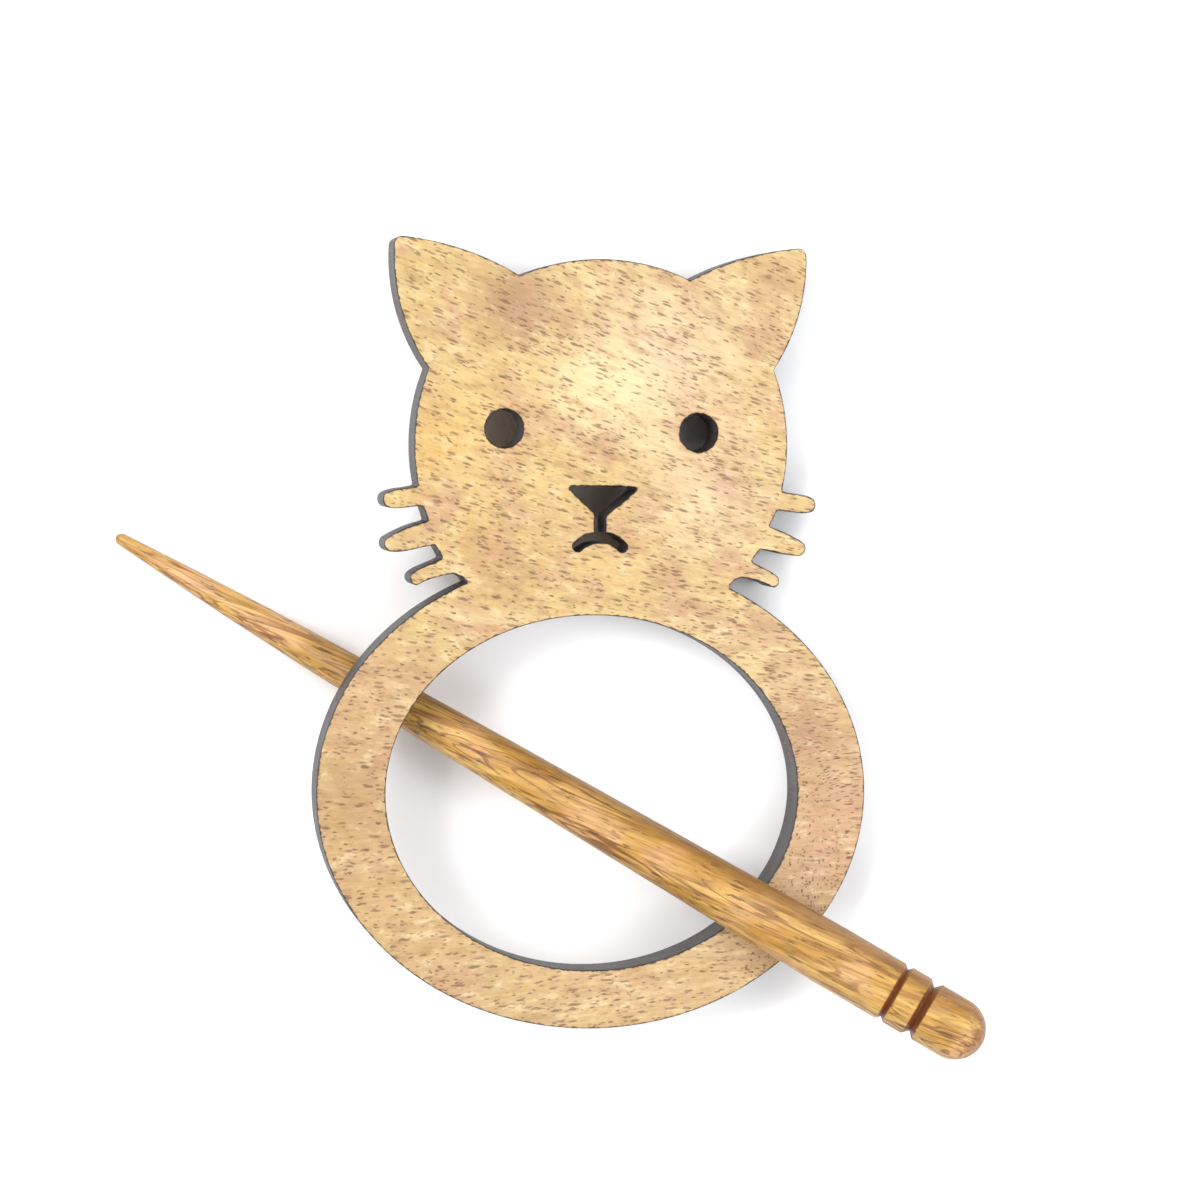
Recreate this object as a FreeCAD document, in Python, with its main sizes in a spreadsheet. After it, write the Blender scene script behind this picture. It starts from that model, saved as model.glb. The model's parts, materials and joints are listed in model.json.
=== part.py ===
import FreeCAD, Part
import math
import os
import Sketcher

# Wooden shawl pin, lying as it rests by itself on a table. Millimetres.
# A flat plate, cut out as a cat's head on top of an oval ring, and a turned stick that passes
# under the ring's left side, up through its opening and over its lower right side.
#
# The plate's own frame: ring centre at the origin, ears towards +Y, back face at z = 0.
# The stick's own frame: tip at the origin, thick end towards +X.

SHEET = "Sizes"

# Driving sizes of both pieces, and how they lie: lengths in millimetres, angles in degrees
SIZES = {
    "plate_thickness": 6.0,
    "ring_half_width": 31.8,
    "ring_half_height": 27.1,
    "opening_half_width": 23.9,
    "opening_half_height": 20.4,
    "crown_radius": 23.8,
    "notch_fillet": 0.25,
    "eye_diameter": 4.4,
    "left_eye_x": -11.2,
    "left_eye_y": 41.5,
    "right_eye_x": 11.3,
    "right_eye_y": 41.5,
    "stick_groove_one_x": 104.5,
    "stick_groove_one_width": 1.0,
    "stick_groove_one_depth": 0.5,
    "stick_groove_two_x": 108.1,
    "stick_groove_two_width": 1.4,
    "stick_groove_two_depth": 0.75,
    "plate_tilt": 9.32,
    "plate_tilt_axis": 97.87,
    "plate_turn": -1.41,
    "stick_heading": -29.79,
    "stick_pitch": 7.6,
    "tip_on_table_x": -54.6,
    "tip_on_table_y": 29.05,
}

# Corners of the head, from the notch beside the crown down to the ring, on both sides.
# The radius is that of the edge between a corner and the one above it: positive where the edge
# swells outwards, negative where it hollows, 0 where it is straight.
HEAD_COLUMNS = ("right_x", "right_y", "left_x", "left_y", "radius")
HEAD_CORNERS = {
    "crown_notch": (9.9, 58.9, -9.8, 58.9, 0),
    "ear_upper": (22.6, 62.9, -23.4, 63.0, 32),
    "ear_outer": (23.4, 62.1, -24.2, 62.2, 0.9),
    "cheek_notch": (19.9, 48.9, -20.0, 48.1, 22.5),
    "high_root": (21.2, 35.0, -20.9, 34.8, 24),
    "high_upper": (24.9, 34.2, -24.7, 33.8, 0),
    "high_lower": (24.8, 32.7, -24.4, 32.3, 1.0),
    "high_gap_upper": (20.7, 32.8, -20.3, 32.5, 0),
    "high_gap_lower": (19.8, 30.9, -19.7, 30.8, 0),
    "middle_upper": (23.9, 29.1, -24.2, 28.9, 16),
    "middle_lower": (23.4, 27.6, -24.1, 27.3, 0.9),
    "low_gap_upper": (18.9, 28.3, -18.8, 28.1, 0),
    "low_gap_lower": (17.8, 26.9, -17.9, 26.6, 0),
    "low_upper": (20.9, 25.2, -21.4, 24.8, 0),
    "low_lower": (20.6, 23.9, -20.9, 23.5, 0.8),
    "neck_gap_upper": (17.0, 25.0, -17.1, 24.8, -12),
    "neck_gap_inner": (15.4, 24.1, -15.1, 23.8, -1.8),
    "ring_join": (15.2, 22.0, -15.0, 22.0, 0),
}

# Corners where the cut turns in a small round
ROUNDED_HEAD_CORNERS = (
    "crown_notch",
    "cheek_notch",
    "high_root",
    "high_gap_upper",
    "high_gap_lower",
    "low_gap_upper",
    "low_gap_lower",
)
ROUNDED_NOSE_CORNERS = ("nose_left", "nose_right")

# Corners of the nose: a triangle on a narrow stem, which runs down into the mouth
NOSE_COLUMNS = ("x", "y")
NOSE_CORNERS = {
    "nose_left": (-3.9, 35.1),
    "stem_left_top": (-0.55, 32.0),
    "stem_left_foot": (-0.55, 29.4),
    "stem_right_foot": (0.75, 29.4),
    "stem_right_top": (0.75, 31.8),
    "nose_right": (4.6, 35.1),
}

# Corners of the mouth, a curved slot with round ends, with the radius of the edge that leaves each
# corner on the way round: positive where it swells out of the slot, negative where it hollows
MOUTH_COLUMNS = ("x", "y", "radius")
MOUTH_CORNERS = {
    "mouth_left_lower": (-2.1, 27.7, -3.1),
    "mouth_right_lower": (2.5, 27.7, 0.65),
    "mouth_right_upper": (3.3, 28.5, 4.2),
    "mouth_left_upper": (-3.0, 28.5, 0.65),
}

# Half outline of the stick: distance from the tip, and its radius there.
# The last column is the radius of the edge between a corner and the one before it.
STICK_COLUMNS = ("x", "y", "radius")
STICK_CORNERS = {
    "stick_tip": (0, 0, 0),
    "tip_shoulder": (0.7, 0.7, 0.7),
    "slender_end": (29.0, 2.12, 830),
    "taper_end": (97.0, 3.58, 5000),
    "dome_start": (112.4, 3.58, 0),
    "stick_end": (116.0, 0, 3.62),
}

ORIGIN = -1
X_AXIS = -1
Y_AXIS = -2
FIRST_END = 1
LAST_END = 2
CENTRE = 3


# Sheet of sizes


def table_cells(table, columns):
    """A named cell for every number of a table: its row, an underscore and its column."""
    return {f"{row}_{column}": value for row in table for column, value in zip(columns, table[row])}


def make_sheet(doc, cells):
    """Write every size into a cell that has the size's name as its alias."""
    sheet = doc.addObject("Spreadsheet::Sheet", SHEET)
    for row, (name, value) in enumerate(cells.items(), start=1):
        sheet.set(f"A{row}", name)
        sheet.set(f"B{row}", str(value))
        sheet.setAlias(f"B{row}", name)
    doc.recompute()
    return sheet


# Sketches


def new_sketch(body, name):
    """An empty sketch on the body's own XY plane."""
    sketch = body.newObject("Sketcher::SketchObject", name)
    plane = next(item for item in body.Origin.OriginFeatures if item.Role == "XY_Plane")
    sketch.AttachmentSupport = [(plane, "")]
    sketch.MapMode = "FlatFace"
    return sketch


def bind(sketch, kind, places, name, value, formula):
    """Add a named constraint whose value follows a formula of the sheet's cells."""
    index = sketch.addConstraint(Sketcher.Constraint(kind, *places, value))
    sketch.renameConstraint(index, name)
    sketch.setExpression("Constraints." + name, formula)


def hold_point(sketch, geometry, end, name, x, y):
    """Hold a point at the coordinates in the cells name_x and name_y."""
    if x == 0:
        sketch.addConstraint(Sketcher.Constraint("PointOnObject", geometry, end, Y_AXIS))
    else:
        bind(sketch, "DistanceX", (ORIGIN, FIRST_END, geometry, end), name + "_x", x, f"{SHEET}.{name}_x")
    if y == 0:
        sketch.addConstraint(Sketcher.Constraint("PointOnObject", geometry, end, X_AXIS))
    else:
        bind(sketch, "DistanceY", (ORIGIN, FIRST_END, geometry, end), name + "_y", y, f"{SHEET}.{name}_y")


def arc_centre(start, end, radius):
    """Centre of the short arc from start to end: left of the way for a positive radius."""
    chord = end - start
    side = FreeCAD.Vector(-chord.y, chord.x, 0).normalize()
    rise = math.sqrt(max(radius**2 - (chord.Length / 2) ** 2, 0))
    return (start + end) / 2 + side * math.copysign(rise, radius)


def make_arc(centre, radius, start, end):
    """Counter-clockwise arc from the direction of start to the direction of end."""
    circle = Part.Circle(centre, FreeCAD.Vector(0, 0, 1), radius)
    turns = [math.atan2(point.y - centre.y, point.x - centre.x) for point in (start, end)]
    return Part.ArcOfCircle(circle, turns[0], turns[1])


def make_edge(start, end, radius):
    """The edge from start to end, and which of its ends lie at start and at end."""
    if radius == 0:
        return Part.LineSegment(start, end), FIRST_END, LAST_END
    centre = arc_centre(start, end, radius)
    if radius > 0:
        return make_arc(centre, radius, start, end), FIRST_END, LAST_END
    return make_arc(centre, -radius, end, start), LAST_END, FIRST_END


def draw_loop(sketch, corners):
    """Closed outline, counter-clockwise. A corner is its name, x, y, and the radius of the edge
    that leaves it with the cell that holds this radius."""
    points = [FreeCAD.Vector(x, y, 0) for name, x, y, radius, cell in corners]
    edges = []
    for index, (name, x, y, radius, cell) in enumerate(corners):
        curve, first, last = make_edge(points[index], points[(index + 1) % len(points)], radius)
        edges.append((sketch.addGeometry(curve), first, last))
    for index, (name, x, y, radius, cell) in enumerate(corners):
        geometry, first, last = edges[index]
        before, before_first, before_last = edges[index - 1]
        sketch.addConstraint(Sketcher.Constraint("Coincident", before, before_last, geometry, first))
        hold_point(sketch, geometry, first, name, x, y)
        if radius:
            bind(sketch, "Radius", (geometry,), name + "_bend", abs(radius), f"abs({SHEET}.{cell})")


def draw_ellipse(sketch, sheet, name):
    """Ellipse about the ring's centre, from the cells name_half_width and name_half_height."""
    half_width = getattr(sheet, name + "_half_width")
    half_height = getattr(sheet, name + "_half_height")
    far_side = FreeCAD.Vector(half_width, 0, 0)
    top = FreeCAD.Vector(0, half_height, 0)
    ellipse = sketch.addGeometry(Part.Ellipse(far_side, top, FreeCAD.Vector(0, 0, 0)))
    sketch.exposeInternalGeometry(ellipse)
    long_axis = ellipse + 1
    short_axis = ellipse + 2
    sketch.addConstraint(Sketcher.Constraint("Coincident", ellipse, CENTRE, ORIGIN, FIRST_END))
    sketch.addConstraint(Sketcher.Constraint("Horizontal", long_axis))
    bind(sketch, "Distance", (long_axis,), "width", 2 * half_width, f"2 * {SHEET}.{name}_half_width")
    bind(sketch, "Distance", (short_axis,), "height", 2 * half_height, f"2 * {SHEET}.{name}_half_height")


def draw_eye(sketch, sheet, name):
    """Round eye hole at the cells name_x and name_y."""
    x = getattr(sheet, name + "_x")
    y = getattr(sheet, name + "_y")
    radius = sheet.eye_diameter / 2
    eye = sketch.addGeometry(Part.Circle(FreeCAD.Vector(x, y, 0), FreeCAD.Vector(0, 0, 1), radius))
    hold_point(sketch, eye, CENTRE, name, x, y)
    bind(sketch, "Diameter", (eye,), name + "_diameter", 2 * radius, SHEET + ".eye_diameter")


def cell_values(sheet, name, columns):
    """Values of the cells of one row of a table."""
    return [getattr(sheet, f"{name}_{column}") for column in columns]


# Outlines


def head_loop(sheet):
    """The head's corners, up the right side, over the crown and down the left side."""
    names = list(HEAD_CORNERS)
    loop = []
    for name in reversed(names):
        x, y, radius = cell_values(sheet, name, ("right_x", "right_y", "radius"))
        cell = name + "_radius"
        if name == names[0]:
            radius = sheet.crown_radius
            cell = "crown_radius"
        loop.append((name + "_right", x, y, radius, cell))
    for name, lower_name in zip(names, names[1:] + [None]):
        x, y = cell_values(sheet, name, ("left_x", "left_y"))
        radius = 0 if lower_name is None else getattr(sheet, lower_name + "_radius")
        loop.append((name + "_left", x, y, radius, f"{lower_name}_radius"))
    return loop


def nose_loop(sheet):
    """The nose's corners, which straight edges join."""
    return [(name, *cell_values(sheet, name, NOSE_COLUMNS), 0, None) for name in NOSE_CORNERS]


def mouth_loop(sheet):
    """The mouth's corners, along its lower edge and back along its upper edge."""
    return [(name, *cell_values(sheet, name, MOUTH_COLUMNS), name + "_radius") for name in MOUTH_CORNERS]


def stick_loop(sheet):
    """Half outline of the stick: along its axis to the thick end, and back over its surface."""
    names = list(STICK_CORNERS)
    ordered = names[:1] + names[:0:-1]
    return [(name, *cell_values(sheet, name, STICK_COLUMNS), name + "_radius") for name in ordered]


def draw_groove(sketch, sheet, name):
    """Triangle that cuts a V into the stick's surface, centred at the cell name_x."""
    middle, width, depth = cell_values(sheet, name, ("x", "width", "depth"))
    surface = sheet.dome_start_y
    corners = [(middle, surface - depth), (middle + width / 2, surface), (middle - width / 2, surface)]
    points = [FreeCAD.Vector(x, y, 0) for x, y in corners]
    sides = [sketch.addGeometry(Part.LineSegment(points[i - 1], points[i])) for i in range(3)]
    for index, side in enumerate(sides):
        following = sides[(index + 1) % 3]
        sketch.addConstraint(Sketcher.Constraint("Coincident", side, LAST_END, following, FIRST_END))
    cell = f"{SHEET}.{name}"
    formulas = {
        "bottom": (0, cell + "_x", f"{SHEET}.dome_start_y - {cell}_depth"),
        "right": (1, f"{cell}_x + {cell}_width / 2", SHEET + ".dome_start_y"),
        "left": (2, f"{cell}_x - {cell}_width / 2", SHEET + ".dome_start_y"),
    }
    for corner, (index, across, up) in formulas.items():
        place = (ORIGIN, FIRST_END, sides[index], LAST_END)
        bind(sketch, "DistanceX", place, f"{name}_{corner}_x", points[index].x, across)
        bind(sketch, "DistanceY", place, f"{name}_{corner}_y", points[index].y, up)


# Features


def add_pad(body, sketch, name):
    """Thicken a sketch from the back face up to the front face."""
    pad = body.newObject("PartDesign::Pad", name)
    pad.Profile = sketch
    pad.setExpression("Length", SHEET + ".plate_thickness")
    return pad


def cut_through(body, sketch, name):
    """Cut a sketch through the whole thickness, from the back face up."""
    pocket = body.newObject("PartDesign::Pocket", name)
    pocket.Profile = sketch
    pocket.Reversed = True
    pocket.setExpression("Length", SHEET + ".plate_thickness")
    return pocket


def turn_about_axis(body, sketch, kind, name):
    """Turn a sketch once round the stick's axis, to add or to cut."""
    feature = body.newObject(kind, name)
    feature.Profile = sketch
    feature.ReferenceAxis = (sketch, ["H_Axis"])
    feature.Angle = 360
    return feature


def stands_at(edge, points, reach):
    """Whether both ends of an edge are above or below one of the points."""
    ends = [vertex.Point for vertex in edge.Vertexes]
    if len(ends) != 2:
        return False
    return any(all(math.hypot(end.x - x, end.y - y) < reach for end in ends) for x, y in points)


def fillet_corners(body, base, points, name):
    """Round the upright edges that stand at the points."""
    reach = 0.05
    edges = [f"Edge{n}" for n, edge in enumerate(base.Shape.Edges, start=1) if stands_at(edge, points, reach)]
    if len(edges) != len(points):
        raise RuntimeError(f"{name}: {len(edges)} edges found at {len(points)} corners")
    fillet = body.newObject("PartDesign::Fillet", name)
    fillet.Base = (base, edges)
    fillet.setExpression("Radius", SHEET + ".notch_fillet")
    return fillet


# Pieces


def make_plate(doc, sheet):
    """Ring and head cut from one board, with the ring's opening, the eyes, the nose and the mouth."""
    body = doc.addObject("PartDesign::Body", "CatRing")
    body.Label = "cat_ring"
    ring = new_sketch(body, "RingOutline")
    draw_ellipse(ring, sheet, "ring")
    add_pad(body, ring, "Ring")
    head = new_sketch(body, "HeadOutline")
    draw_loop(head, head_loop(sheet))
    add_pad(body, head, "Head")
    opening = new_sketch(body, "OpeningOutline")
    draw_ellipse(opening, sheet, "opening")
    cut_through(body, opening, "Opening")
    eyes = new_sketch(body, "EyeOutlines")
    draw_eye(eyes, sheet, "left_eye")
    draw_eye(eyes, sheet, "right_eye")
    cut_through(body, eyes, "Eyes")
    nose = new_sketch(body, "NoseOutline")
    draw_loop(nose, nose_loop(sheet))
    cut_through(body, nose, "Nose")
    mouth = new_sketch(body, "MouthOutline")
    draw_loop(mouth, mouth_loop(sheet))
    last_cut = cut_through(body, mouth, "Mouth")
    doc.recompute()
    points = [cell_values(sheet, name, ("right_x", "right_y")) for name in ROUNDED_HEAD_CORNERS]
    points += [cell_values(sheet, name, ("left_x", "left_y")) for name in ROUNDED_HEAD_CORNERS]
    points += [cell_values(sheet, name, NOSE_COLUMNS) for name in ROUNDED_NOSE_CORNERS]
    fillet_corners(body, last_cut, points, "CornerRounds")
    doc.recompute()
    return body


def make_stick(doc, sheet):
    """Turned stick: a slender tip, a long taper, two grooves and a domed end."""
    body = doc.addObject("PartDesign::Body", "Stick")
    body.Label = "stick"
    outline = new_sketch(body, "StickOutline")
    draw_loop(outline, stick_loop(sheet))
    turn_about_axis(body, outline, "PartDesign::Revolution", "Taper")
    grooves = new_sketch(body, "GrooveOutlines")
    draw_groove(grooves, sheet, "stick_groove_one")
    draw_groove(grooves, sheet, "stick_groove_two")
    turn_about_axis(body, grooves, "PartDesign::Groove", "Grooves")
    doc.recompute()
    return body


# The way the two pieces lie


def exact_box(shape):
    """Bounding box that fits curved faces closely."""
    return shape.optimalBoundingBox(False, False)


def set_down(body, x, y, rotation):
    """Turn a piece, put its origin at x and y, and lower it until it touches the table."""
    body.Placement = FreeCAD.Placement(FreeCAD.Vector(x, y, 0), rotation)
    drop = exact_box(body.Shape).ZMin
    body.Placement = FreeCAD.Placement(FreeCAD.Vector(x, y, -drop), rotation)


def lay_pieces(sheet, plate, stick):
    """Lay the plate on its right edge, raised on the left by the stick, and centre both on the table.

    The plate stands on its right ear and on the ring's right side, so it tilts about the line
    through them. The stick's tip is on the table, and its thick end is in the air.
    """
    up = FreeCAD.Vector(0, 0, 1)
    slope = math.radians(sheet.plate_tilt_axis)
    hinge_line = FreeCAD.Vector(math.cos(slope), math.sin(slope), 0)
    tilt = FreeCAD.Rotation(hinge_line, sheet.plate_tilt)
    turn = FreeCAD.Rotation(up, sheet.plate_turn)
    set_down(plate, 0, 0, turn.multiply(tilt))
    heading = FreeCAD.Rotation(up, sheet.stick_heading)
    pitch = FreeCAD.Rotation(FreeCAD.Vector(0, -1, 0), sheet.stick_pitch)
    set_down(stick, sheet.tip_on_table_x, sheet.tip_on_table_y, heading.multiply(pitch))
    box = exact_box(Part.makeCompound([plate.Shape, stick.Shape]))
    shift = FreeCAD.Vector(-box.Center.x, -box.Center.y, 0)
    for piece in (plate, stick):
        piece.Placement = FreeCAD.Placement(piece.Placement.Base + shift, piece.Placement.Rotation)


# Checks and files


def check_document(doc, pieces):
    """Stop if any object failed or any piece is not one valid solid."""
    for item in doc.Objects:
        if "Invalid" in item.State or "Error" in item.State:
            raise RuntimeError(f"{item.Name} failed: {item.State}")
    for piece in pieces:
        shape = piece.Shape
        if shape.isNull() or not shape.isValid() or len(shape.Solids) != 1:
            raise RuntimeError(f"{piece.Label} is not one valid solid")


def check_cuts(pieces):
    """Stop if a cut took away less than the least volume, in cubic millimetres."""
    cuts = ("PartDesign::Pocket", "PartDesign::Groove")
    least = 1
    for piece in pieces:
        for feature in piece.Group:
            if feature.TypeId not in cuts:
                continue
            if feature.BaseFeature.Shape.Volume - feature.Shape.Volume < least:
                raise RuntimeError(f"{feature.Name} cut nothing")


def report(pieces):
    """Print the size of the model, of each piece, and the gap between the pieces."""
    for piece in pieces:
        box = exact_box(piece.Shape)
        print(piece.Label, f"volume {piece.Shape.Volume:.1f}", f"lowest point {box.ZMin:.4f}")
        print("  placement", piece.Placement)
    box = exact_box(Part.makeCompound([piece.Shape for piece in pieces]))
    print("box low", round(box.XMin, 3), round(box.YMin, 3), round(box.ZMin, 3))
    print("box high", round(box.XMax, 3), round(box.YMax, 3), round(box.ZMax, 3))
    gap = pieces[0].Shape.distToShape(pieces[1].Shape)
    print("gap between the pieces", round(gap[0], 4), "at", gap[1][0][0])


def main():
    doc = FreeCAD.newDocument("ShawlPin")
    cells = dict(SIZES)
    cells.update(table_cells(HEAD_CORNERS, HEAD_COLUMNS))
    cells.update(table_cells(NOSE_CORNERS, NOSE_COLUMNS))
    cells.update(table_cells(MOUTH_CORNERS, MOUTH_COLUMNS))
    cells.update(table_cells(STICK_CORNERS, STICK_COLUMNS))
    sheet = make_sheet(doc, cells)
    plate = make_plate(doc, sheet)
    stick = make_stick(doc, sheet)
    pieces = (plate, stick)
    lay_pieces(sheet, plate, stick)
    doc.recompute()
    check_document(doc, pieces)
    check_cuts(pieces)
    report(pieces)
    os.makedirs("parts", exist_ok=True)
    for piece in pieces:
        piece.Shape.exportStep(f"parts/{piece.Label}.step")
    return doc


main()
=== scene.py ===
import bpy
import bmesh
import json
import math
import numpy as np
from mathutils import Matrix, Vector
from mathutils.geometry import delaunay_2d_cdt


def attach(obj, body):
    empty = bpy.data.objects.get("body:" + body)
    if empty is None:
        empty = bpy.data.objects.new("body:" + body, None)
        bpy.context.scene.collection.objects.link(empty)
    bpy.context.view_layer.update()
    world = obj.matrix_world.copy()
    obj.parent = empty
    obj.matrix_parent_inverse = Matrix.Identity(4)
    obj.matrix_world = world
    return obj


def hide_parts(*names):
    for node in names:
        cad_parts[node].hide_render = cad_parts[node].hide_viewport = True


# Wooden shawl pin on a white table: a laser-cut cat ring, and the turned stick that holds it.
# Lengths named mm are millimetres, everything else is in metres. Colours are screen values, 0 to 255.

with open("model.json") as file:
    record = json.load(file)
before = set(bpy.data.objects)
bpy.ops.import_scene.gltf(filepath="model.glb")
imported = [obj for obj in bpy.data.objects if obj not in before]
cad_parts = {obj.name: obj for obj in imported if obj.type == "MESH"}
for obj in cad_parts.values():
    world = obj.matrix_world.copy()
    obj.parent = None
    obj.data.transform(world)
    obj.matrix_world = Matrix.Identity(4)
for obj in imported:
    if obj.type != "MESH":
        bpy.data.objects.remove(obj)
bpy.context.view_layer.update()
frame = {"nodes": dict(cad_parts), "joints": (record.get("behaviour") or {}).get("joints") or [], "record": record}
mm = 0.001
print("frame loaded")


# Small helpers

def tint(red, green, blue):
    # screen colour to the linear colour that a shader reads, by the standard curve
    def linear(value):
        value = value / 255
        return value / 12.92 if value <= 0.04045 else ((value + 0.055) / 1.055) ** 2.4
    return (linear(red), linear(green), linear(blue), 1.0)


def feed(tree, socket, value):
    # an input is linked to another node's output, or holds a plain value
    if isinstance(value, bpy.types.NodeSocket):
        tree.links.new(value, socket)
    else:
        socket.default_value = value


def addNode(tree, kind, inputs=None, **settings):
    # one node, with its settings, and its inputs by name or by number
    node = tree.nodes.new(kind)
    for name, value in settings.items():
        setattr(node, name, value)
    for name, value in (inputs or {}).items():
        feed(tree, node.inputs[name], value)
    return node


def doMath(tree, operation, *values):
    return addNode(tree, "ShaderNodeMath", dict(enumerate(values)), operation=operation).outputs[0]


def doVectorMath(tree, operation, *values):
    return addNode(tree, "ShaderNodeVectorMath", dict(enumerate(values)), operation=operation).outputs[0]


def joinVector(tree, x, y, z=0.0):
    return addNode(tree, "ShaderNodeCombineXYZ", {0: x, 1: y, 2: z}).outputs[0]


def splitVector(tree, vector):
    return addNode(tree, "ShaderNodeSeparateXYZ", {0: vector}).outputs


def addNoise(tree, vector, scale, detail, **others):
    inputs = {"Vector": vector, "Scale": scale, "Detail": detail, **others}
    return addNode(tree, "ShaderNodeTexNoise", inputs).outputs["Fac"]


def readAttribute(tree, name):
    return addNode(tree, "ShaderNodeAttribute", attribute_name=name).outputs["Fac"]


def remap(tree, value, low, high, toLow=0.0, toHigh=1.0, smooth=True):
    inputs = {"Value": value, "From Min": low, "From Max": high, "To Min": toLow, "To Max": toHigh}
    kind = "SMOOTHSTEP" if smooth else "LINEAR"
    return addNode(tree, "ShaderNodeMapRange", inputs, interpolation_type=kind).outputs["Result"]


def blendColours(tree, factor, first, second, kind="MIX"):
    # the mix node's sockets for colours are its seventh and eighth
    inputs = {0: factor, 6: first, 7: second}
    return addNode(tree, "ShaderNodeMix", inputs, data_type="RGBA", blend_type=kind).outputs[2]


def paint(tree, colour, mask, swatch):
    # the colour so far, covered by a screen colour as far as the mask goes
    return blendColours(tree, mask, colour, tint(*swatch))


def lighten(tree, colour, value):
    # the same change of brightness in all three channels
    return blendColours(tree, 1.0, colour, joinVector(tree, value, value, value), "MULTIPLY")


def addRelief(tree, shader, height, looks):
    inputs = {"Height": height, "Strength": looks["relief"], "Distance": looks["reliefDepth"] * mm}
    tree.links.new(addNode(tree, "ShaderNodeBump", inputs).outputs[0], shader["Normal"])


def newGroup(name, inputs, outputs):
    # an empty shader group; an input is its name, its kind and its value
    group = bpy.data.node_groups.new(name, "ShaderNodeTree")
    for label, kind, value in inputs:
        socket = group.interface.new_socket(label, in_out="INPUT", socket_type="NodeSocket" + kind)
        socket.default_value = value
    for label, kind in outputs:
        group.interface.new_socket(label, in_out="OUTPUT", socket_type="NodeSocket" + kind)
    entry = group.nodes.new("NodeGroupInput").outputs
    outlet = group.nodes.new("NodeGroupOutput").inputs
    return group, entry, outlet


def useGroup(tree, group, inputs):
    return addNode(tree, "ShaderNodeGroup", inputs, node_tree=group).outputs


def newMaterial(name):
    material = bpy.data.materials.new(name)
    material.use_nodes = True
    tree = material.node_tree
    return material, tree, tree.nodes["Principled BSDF"].inputs


# Where the two pieces lie: their own frames, as the part's source lays them

plateFrame = {
    "centre": (4.51, -16.90, 5.14),  # mm, the middle of the ring on the back face
    "turn": -1.5,  # degrees about the plate's normal
}


def makePlateMatrix():
    # from the plate's own frame, with the ring's centre at its origin and the face towards +Z
    normal = Vector(frame["record"]["mounts"][0]["axis"]).normalized()
    up = (Vector((0, 1, 0)) - normal.y * normal).normalized()
    axes = Matrix((up.cross(normal), up, normal)).transposed().to_4x4()
    turn = Matrix.Rotation(math.radians(plateFrame["turn"]), 4, "Z")
    return Matrix.Translation(Vector(plateFrame["centre"]) * mm) @ axes @ turn


def makeStickMatrix():
    # from the stick's own frame, with its tip at the origin and its thick end towards +X
    axis = Vector(frame["joints"][0]["axis"]).normalized()
    side = Vector((0, 0, 1)).cross(axis).normalized()
    turn = Matrix((axis, side, axis.cross(side))).transposed()
    vertices = frame["nodes"]["stick"].data.vertices
    tip = min((v.co for v in vertices), key=lambda place: place.dot(axis))
    return Matrix.Translation(tip) @ turn.to_4x4()


plateMatrix = makePlateMatrix()
stickMatrix = makeStickMatrix()


def ownCoordinates(tree, matrix):
    # object coordinates in a piece's own frame, in millimetres
    coordinates = tree.nodes.new("ShaderNodeTexCoord").outputs["Object"]
    settings = {
        "Vector": coordinates,
        "Location": matrix.to_translation(),
        "Rotation": matrix.to_euler("XYZ"),
        "Scale": (mm, mm, mm),
    }
    return addNode(tree, "ShaderNodeMapping", settings, vector_type="TEXTURE").outputs[0]


# Camera, lights and table

view = {
    "place": (0.00519, 0.03599, 0.48959),
    "turn": (-3.66, -0.126, 0),  # degrees: almost straight down
    "lens": 126,
    "sensor": 36,  # mm wide
}

lights = {
    # name: place, size, watts, colour
    "left softbox": ((-0.34, 0.22, 0.60), 0.30, 3.0, (255, 253, 250)),
    "right softbox": ((0.55, -0.05, 0.55), 0.30, 2.0, (255, 255, 255)),
}

studio = {
    "sky": (252, 253, 255),
    "skyStrength": 2.6,
    "horizonShare": 0.03,  # of the sky's strength, at the horizon
    "skyFade": (0.45, 0.8),  # sine of the height over the horizon where the sky starts, and is full
    "table": (248, 248, 249),
    "tableRoughness": 0.9,
    "tableGloss": 0.1,
    "tableSide": 4.0,
    "cardHeight": 0.62,  # the dark of the camera overhead, which keeps the pierced holes dark
    "cardSide": 0.46,
}


def makeCamera():
    camera = bpy.data.objects.new("camera", bpy.data.cameras.new("camera"))
    camera.location = view["place"]
    camera.rotation_euler = [math.radians(angle) for angle in view["turn"]]
    camera.data.lens = view["lens"]
    camera.data.sensor_width = view["sensor"]
    bpy.context.collection.objects.link(camera)
    bpy.context.scene.camera = camera


def makeSquare(name, side, height, material):
    half = side / 2
    corners = [(-half, -half, height), (half, -half, height), (half, half, height), (-half, half, height)]
    mesh = bpy.data.meshes.new(name)
    mesh.from_pydata(corners, [], [(0, 1, 2, 3)])
    mesh.materials.append(material)
    square = bpy.data.objects.new(name, mesh)
    bpy.context.collection.objects.link(square)
    return square


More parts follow.
